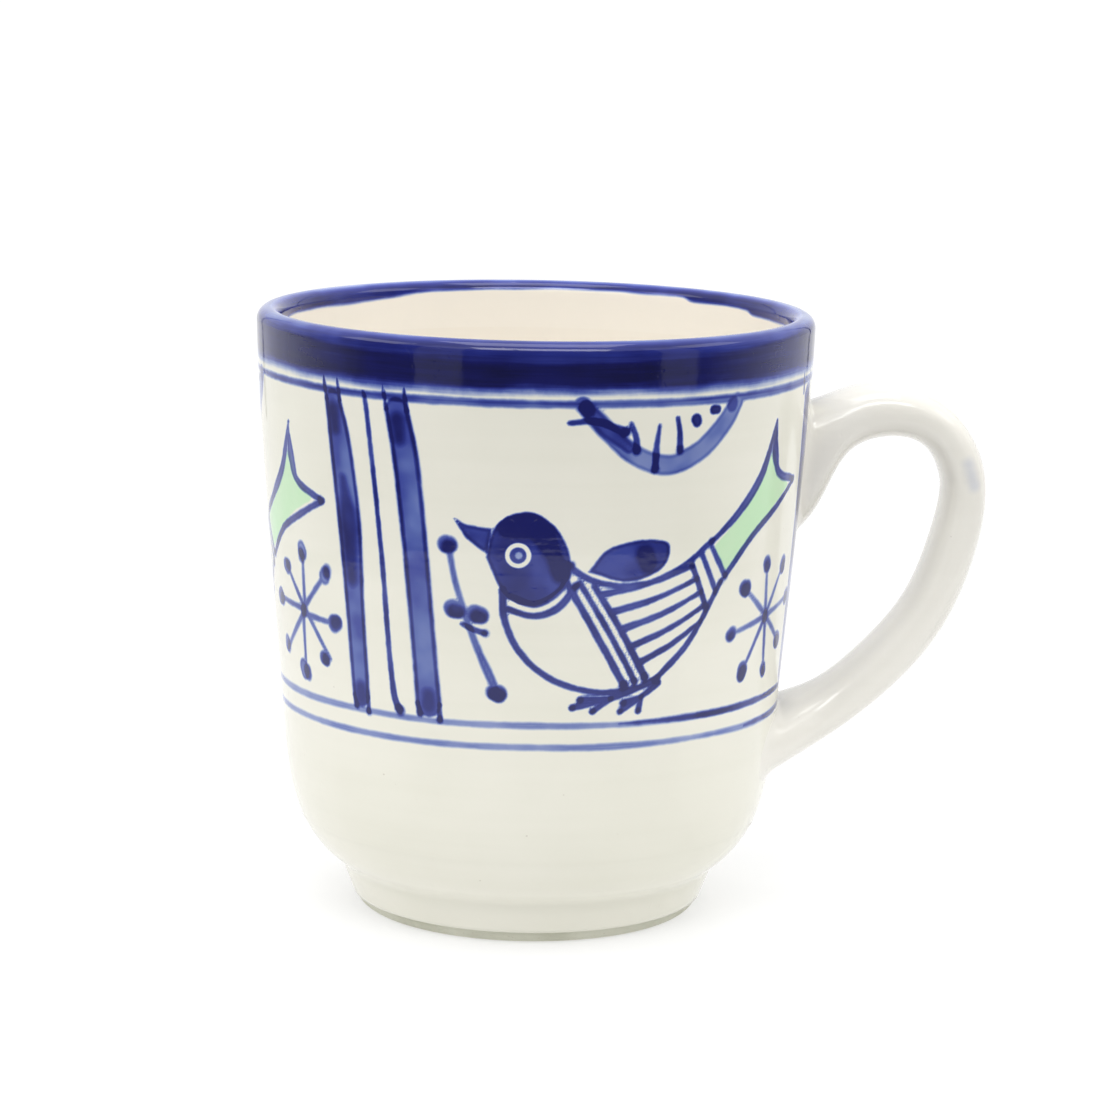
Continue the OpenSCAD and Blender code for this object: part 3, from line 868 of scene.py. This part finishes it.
def make_handle():
    """The pulled strap, with the glaze running in a soft fillet on to the wall."""
    sides, rings, power = 72, 300, 2.5
    at = spline(STATIONS)
    angle = np.linspace(0, 2 * math.pi, sides, endpoint=False)
    up, side = (np.sign(c) * np.abs(c) ** (2 / power) for c in (np.cos(angle), np.sin(angle)))

    def points(s):
        row = at(s)
        mid = (row[..., 0:2] + row[..., 2:4]) / 2
        half = (row[..., 0:2] - row[..., 2:4]) / 2
        reach = mid + half * up[:, None]
        return np.stack([reach[..., 0], row[..., 4] / 2 * side, reach[..., 1]], -1), half

    def depth(p):
        """How far a point stands off the wall."""
        return np.hypot(p[..., 0], p[..., 1]) - wall_radius(p[..., 2])

    def leaves_wall(hidden, clear):
        low, high = np.full(sides, float(hidden)), np.full(sides, float(clear))
        for _ in range(24):
            middle = (low + high) / 2
            out = depth(points(middle)[0]) > -0.8
            high = np.where(out, middle, high)
            low = np.where(out, low, middle)
        return high

    last = len(STATIONS) - 1
    first_s, last_s = leaves_wall(0, 1), leaves_wall(last, last - 2)
    eased = 0.5 - 0.5 * np.cos(np.pi * np.linspace(0, 1, rings))
    place = 0.55 * eased + 0.45 * np.linspace(0, 1, rings)
    s = first_s + (last_s - first_s) * place[:, None]
    p, half = points(s)
    stand = depth(p)
    upper = p[..., 2] > 50
    reach = np.where(upper, 1.6, 2.2) * np.abs(np.sin(angle)) ** 2 + 0.5 * np.cos(angle) ** 2
    inside = np.clip(reach - stand, 0, reach)
    flare = reach - np.sqrt(np.maximum(reach ** 2 - inside ** 2, 0))
    # outward in the plane of the ring
    along = half / np.linalg.norm(half, axis=-1, keepdims=True)
    away = np.cos(angle) * flare
    p = p + np.stack([along[..., 0] * away, np.sin(angle) * flare, along[..., 1] * away], -1)
    # the fillet spreads along the wall, so each point keeps its distance from it
    kept = (wall_radius(p[..., 2]) + stand) / np.hypot(p[..., 0], p[..., 1])
    p[..., :2] *= np.where(flare > 0, kept, 1.0)[..., None]
    p[..., 0] = np.minimum(p[..., 0], GRIP_X)
    verts = p.reshape(-1, 3)
    faces = [tuple(reversed(f)) for f in grid_faces(rings, sides, close_rows=False)]
    ends = [p[0].mean(0), p[-1].mean(0)]
    hubs = len(verts)
    verts = np.vstack([verts, ends])
    low = (rings - 1) * sides
    faces += [(hubs, k, (k + 1) % sides) for k in range(sides)]
    faces += [(hubs + 1, low + (k + 1) % sides, low + k) for k in range(sides)]
    obj = new_object("handle_coat", verts, faces, handle_coat())
    # a faint thumb smear of blue on the near side of the grip
    smear = np.linspace([66.2, -6.4, 70.2], [67.2, -6.4, 67.0], 9)
    gap = np.min([np.linalg.norm(verts - q, axis=1) for q in smear], axis=0)
    add_values(obj, "smudge", np.clip(0.9 - gap, -3, 3))
    return placed(obj, "white_glaze", "handle_glaze")


# ---- the studio ----

def look_camera():
    """The photograph's viewpoint: a long lens, a little above the lip."""
    distance, height = 559.8, 156.85
    pitch, yaw, roll = (math.radians(a) for a in (10.28, 0.28, 1.065))
    forward = np.array([math.sin(yaw) * math.cos(pitch), math.cos(yaw) * math.cos(pitch), -math.sin(pitch)])
    right = np.array([math.cos(yaw), -math.sin(yaw), 0])
    up = np.cross(right, forward)
    rolled_right = math.cos(roll) * right + math.sin(roll) * up
    rolled_up = -math.sin(roll) * right + math.cos(roll) * up
    turn = np.array(Matrix.Rotation(-HANDLE_BEHIND, 3, "Z"))
    data = bpy.data.cameras.new("camera")
    data.sensor_width = 36.0
    data.lens = 120.8
    data.clip_start, data.clip_end = 0.01, 20.0
    camera = bpy.data.objects.new("camera", data)
    axes = np.column_stack([turn @ rolled_right, turn @ rolled_up, turn @ -forward])
    camera.matrix_world = Matrix(axes.tolist()).to_4x4()
    camera.location = turn @ np.array([0, -distance, height]) * MM
    bpy.context.scene.collection.objects.link(camera)
    bpy.context.scene.camera = camera


def area_light(name, place, target, size, power):
    """A soft box at a place in metres, turned to its target, of a power in watts."""
    data = bpy.data.lights.new(name, "AREA")
    data.shape = "RECTANGLE"
    data.size, data.size_y = size
    data.energy = power
    lamp = bpy.data.objects.new(name, data)
    lamp.location = place
    direction = Vector(target) - Vector(place)
    lamp.rotation_mode = "QUATERNION"
    lamp.rotation_quaternion = direction.to_track_quat("-Z", "Y")
    lamp.visible_camera = False
    bpy.context.scene.collection.objects.link(lamp)


def make_studio():
    """A pale floor in an even white room, soft banks of light, and a dark camera side."""
    # lit from below as well: in part near the mug, and wholly where the curtain would shade it
    nodes = Nodes("pale_floor")
    far = nodes.value("far")
    paper = nodes.blend(nodes.ramp(nodes.noise(60, 3), 0.3, 0.7), (0.41, 0.41, 0.41), (0.43, 0.43, 0.43))
    material = nodes.finish(nodes.blend(far, paper, (0.0, 0.0, 0.0)), 0.9,
                            nodes.bump(nodes.noise(0.8, 2), 0.02, 0.2), Emission_Strength=1.0)
    nodes.link(nodes.blend(far, (0.55, 0.55, 0.55), (1.0, 1.0, 1.0)), nodes.shader.inputs["Emission Color"])
    sides, paper_r, glow_r, floor_r = 96, 150.0, 205.0, 12000.0
    turn = np.linspace(0, 2 * math.pi, sides, endpoint=False)
    circle = np.column_stack([np.cos(turn), np.sin(turn), np.zeros(sides)])
    rings = np.vstack([circle * radius - [0, 0, 0.02] for radius in (paper_r, glow_r, floor_r)])
    faces = [tuple(range(sides)), *grid_faces(3, sides, close_rows=False)]
    floor = new_object("pale_floor", rings, faces, material)
    add_values(floor, "far", np.repeat([0.0, 1.0, 1.0], sides))

    # a dark curtain and carpet on the camera side, out of the picture, for the glaze to mirror
    shade = Nodes("camera_side")
    dark = shade.blend(shade.noise(200, 2), (0.09, 0.09, 0.10), (0.12, 0.12, 0.13))
    cloth = shade.finish(shade.blend(shade.value("pale"), dark, (0.85, 0.85, 0.85)), 0.8, None)
    far, near, tall, steps = 900.0, 215.0, 620.0, 49
    sweep = np.radians(np.linspace(-118, 118, steps))
    ring = np.column_stack([np.cos(FRONT + sweep), np.sin(FRONT + sweep)])
    rows = [np.column_stack([ring * r, np.full(steps, z)])
            for r, z in ((near, 1.0), (far, 1.0), (far, tall))]
    faces = [(steps * i + k, steps * i + k + 1, steps * (i + 1) + k + 1, steps * (i + 1) + k)
             for i in (0, 1) for k in range(steps - 1)]
    curtain = new_object("camera_side", np.vstack(rows), faces, cloth)
    add_values(curtain, "pale", np.tile(np.clip((np.abs(np.degrees(sweep)) - 70) / 45, 0, 1), 3))
    curtain.visible_camera = False
    curtain.visible_shadow = False

    # two narrow black flags behind the mug; the glaze mirrors them as a thin line on either side
    black = Nodes("flag_cloth")
    felt = black.finish(black.blend(black.noise(40, 2), (0.01, 0.01, 0.01), (0.03, 0.03, 0.03)), 0.9, None)
    for name, side in (("left_flag", -1), ("right_flag", 1)):
        edges = FRONT + side * np.radians([146.2, 147.8])
        posts = [[450 * math.cos(a), 450 * math.sin(a), z] for z in (1, 330) for a in edges]
        flag = new_object(name, posts, [(0, 1, 3, 2)], felt)
        flag.visible_camera = False
        flag.visible_shadow = False
        flag.visible_diffuse = False

    world = bpy.data.worlds.new("studio")
    world.use_nodes = True
    world.node_tree.nodes["Background"].inputs["Color"].default_value = (1, 1, 1, 1)
    world.node_tree.nodes["Background"].inputs["Strength"].default_value = 1.0
    bpy.context.scene.world = world

    area_light("left_bank", (-0.95, -0.15, 0.45), (0, 0, 0.05), (0.5, 1.0), 2.4)
    area_light("right_bank", (0.95, -0.10, 0.45), (0, 0, 0.05), (0.5, 1.0), 2.2)
    area_light("top_bank", (0.0, -0.05, 0.95), (0, 0, 0.05), (0.6, 0.5), 2.5)
    area_light("front_bank", (0.0, -0.66, 0.74), (0, 0, 0.05), (0.8, 0.24), 3.1)
    area_light("left_strip", (-0.234, -0.274, 0.22), (0, 0, 0.22), (0.12, 0.42), 0.07)
    area_light("right_strip", (0.289, -0.21, 0.22), (0, 0, 0.22), (0.10, 0.42), 0.06)
    bpy.context.scene.view_settings.view_transform = "Standard"


look_camera()
make_studio()
clay = bare_clay("bare_clay", (0.60, 0.60, 0.50), (0.52, 0.52, 0.42))
slip = bare_clay("luting_slip", (0.74, 0.68, 0.58), (0.66, 0.59, 0.48))
hidden_clay = {"cup_body": clay, "handle": clay, "upper_slip_joint": slip, "lower_slip_joint": slip}
for node, material in hidden_clay.items():
    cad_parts[node].data.materials.clear()
    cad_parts[node].data.materials.append(material)
stained = painted_glaze()
make_painted_wall(stained)
make_cobalt_rim(stained)
make_foot_glaze()
make_liner()
make_foot(clay)
make_base()
make_handle()
